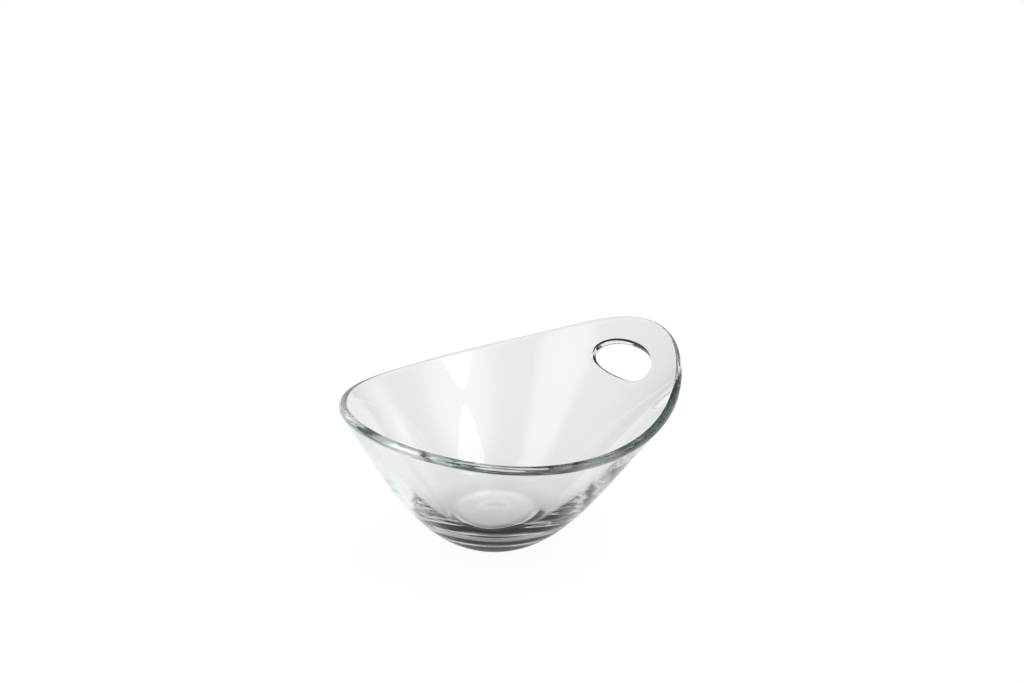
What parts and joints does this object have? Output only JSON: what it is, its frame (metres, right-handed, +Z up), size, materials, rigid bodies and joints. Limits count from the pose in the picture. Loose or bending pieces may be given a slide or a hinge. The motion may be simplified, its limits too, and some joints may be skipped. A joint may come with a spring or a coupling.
{
  "type": "tapas bowl",
  "caption": "Small round bowl of pressed clear glass on a flat foot, with a dipping rim that rises at one end into a tab with an oval finger hole.",
  "frame": {"origin": "centre of the flat foot, on the surface that the bowl stands on", "axes": "+Z up, out of the bowl's mouth; +X from the foot's centre towards the pierced tab; the bowl mirrors across the plane y = 0"},
  "size_m": [0.1197, 0.1076, 0.0674],
  "materials": {
    "clear_glass": "gloss"
  },
  "bodies": {
    "root": {"bowl": "clear_glass"}
  },
  "joints": []
}
